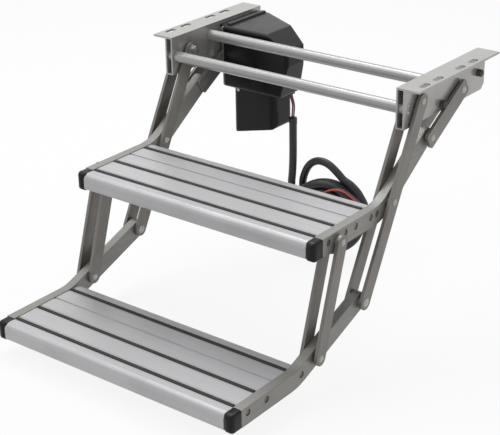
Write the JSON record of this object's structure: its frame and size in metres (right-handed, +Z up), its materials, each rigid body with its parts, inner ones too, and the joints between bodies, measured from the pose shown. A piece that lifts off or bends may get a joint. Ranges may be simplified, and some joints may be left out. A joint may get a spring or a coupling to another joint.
{
  "type": "motorised folding caravan step",
  "caption": "Folding entry step with ribbed aluminium treads on a link frame, a motor drive and a coiled lead, bolted under a vehicle floor by slotted flanges.",
  "frame": {"origin": "middle of the slot pattern, on the top plane of the two bracket flanges", "axes": "+X right seen from the front, +Y back under the vehicle, +Z up"},
  "size_m": [0.477, 0.6116, 0.3764],
  "materials": {
    "anodised_aluminium": "satin anodised extrusion",
    "rail_aluminium": "satin extruded tube",
    "bracket_steel": "bright formed sheet",
    "tube_aluminium": "satin drawn tube",
    "link_steel": "grey plated flat bar",
    "zinc_steel": "bright zinc",
    "bush_plastic": "moulded",
    "cap_plastic": "moulded, satin gloss",
    "cover_plastic": "moulded, fine grain",
    "grip_rubber": "ribbed",
    "stop_rubber": "moulded",
    "gearbox_aluminium": "die cast",
    "motor_steel": "black passivated",
    "circuit_board": "solder mask",
    "cable_black": "extruded sheath",
    "wire_red": "extruded insulation",
    "terminal_brass": "crimped"
  },
  "bodies": {
    "frame": {"left_bracket": "bracket_steel", "right_bracket": "bracket_steel", "front_cross_tube": "tube_aluminium", "rear_cross_tube": "tube_aluminium", "tube_plugs": "bush_plastic", "tube_rivets": "zinc_steel", "link_pivot_bolts": "zinc_steel", "link_pivot_nuts": "zinc_steel", "link_spacers": "bush_plastic", "crank_bushes": "bush_plastic", "stop_buffers": "stop_rubber", "buffer_screws": "zinc_steel", "motor_base_plate": "zinc_steel", "motor_standoffs": "zinc_steel", "gearbox_case": "gearbox_aluminium", "motor_can": "motor_steel", "motor_cover": "cover_plastic", "control_cover": "cover_plastic", "control_board": "circuit_board", "cover_screws": "zinc_steel", "cable_gland": "cable_black", "motor_wires": "wire_red", "lead_sheath": "cable_black", "lead_coil": "cable_black", "lead_tail": "cable_black", "tail_splice": "cable_black", "lead_connector": "cable_black", "pigtail_wires": "wire_red", "wire_terminals": "terminal_brass", "coil_tie": "cable_black"},
    "long_links": {"left_outer_long_link": "link_steel", "left_inner_long_link": "link_steel", "right_outer_long_link": "link_steel", "right_inner_long_link": "link_steel"},
    "upper_tread": {"upper_deck": "anodised_aluminium", "upper_grip_strips": "grip_rubber", "upper_left_rail": "rail_aluminium", "upper_right_rail": "rail_aluminium", "upper_rail_caps": "cap_plastic", "upper_deck_screws": "zinc_steel", "upper_hinge_pins": "zinc_steel", "short_link_pins": "zinc_steel", "crank_eye_bushes": "bush_plastic"},
    "lower_tread": {"lower_deck": "anodised_aluminium", "lower_grip_strips": "grip_rubber", "lower_left_rail": "rail_aluminium", "lower_right_rail": "rail_aluminium", "lower_rail_caps": "cap_plastic", "lower_deck_screws": "zinc_steel", "lower_hinge_pins": "zinc_steel", "short_link_eye_bushes": "bush_plastic"},
    "short_links": {"left_short_links": "link_steel", "right_short_links": "link_steel", "short_link_rivets": "zinc_steel"},
    "cranks": {"left_cranks": "link_steel", "right_cranks": "link_steel", "crank_rivets": "zinc_steel", "crank_shafts": "zinc_steel"}
  },
  "joints": [
    {"name": "step_fold", "type": "hinge", "parent": "frame", "child": "long_links", "pos_m": [0, -0.057, -0.027], "axis": [1, 0, 0], "range_deg": [0, 77.05]},
    {"name": "upper_tread_level", "type": "hinge", "parent": "long_links", "child": "upper_tread", "pos_m": [0, -0.12507, -0.15503], "axis": [1, 0, 0], "range_deg": [-77.1, 0]},
    {"name": "lower_tread_level", "type": "hinge", "parent": "long_links", "child": "lower_tread", "pos_m": [0, -0.19315, -0.28306], "axis": [1, 0, 0], "range_deg": [-86, 0]},
    {"name": "short_link_swing", "type": "hinge", "parent": "upper_tread", "child": "short_links", "pos_m": [0, -0.25157, -0.16853], "axis": [1, 0, 0], "range_deg": [0, 67.8]},
    {"name": "crank_turn", "type": "hinge", "parent": "frame", "child": "cranks", "pos_m": [0, 0.055, -0.041], "axis": [1, 0, 0], "range_deg": [0, 139.8]}
  ],
  "couplings": [
    {"joint": "upper_tread_level", "follows": "step_fold", "ratio": -1},
    {"joint": "lower_tread_level", "follows": "step_fold", "ratio": -1.1147},
    {"joint": "short_link_swing", "follows": "step_fold", "ratio": 0.8775},
    {"joint": "crank_turn", "follows": "step_fold", "ratio": 1.8126}
  ]
}
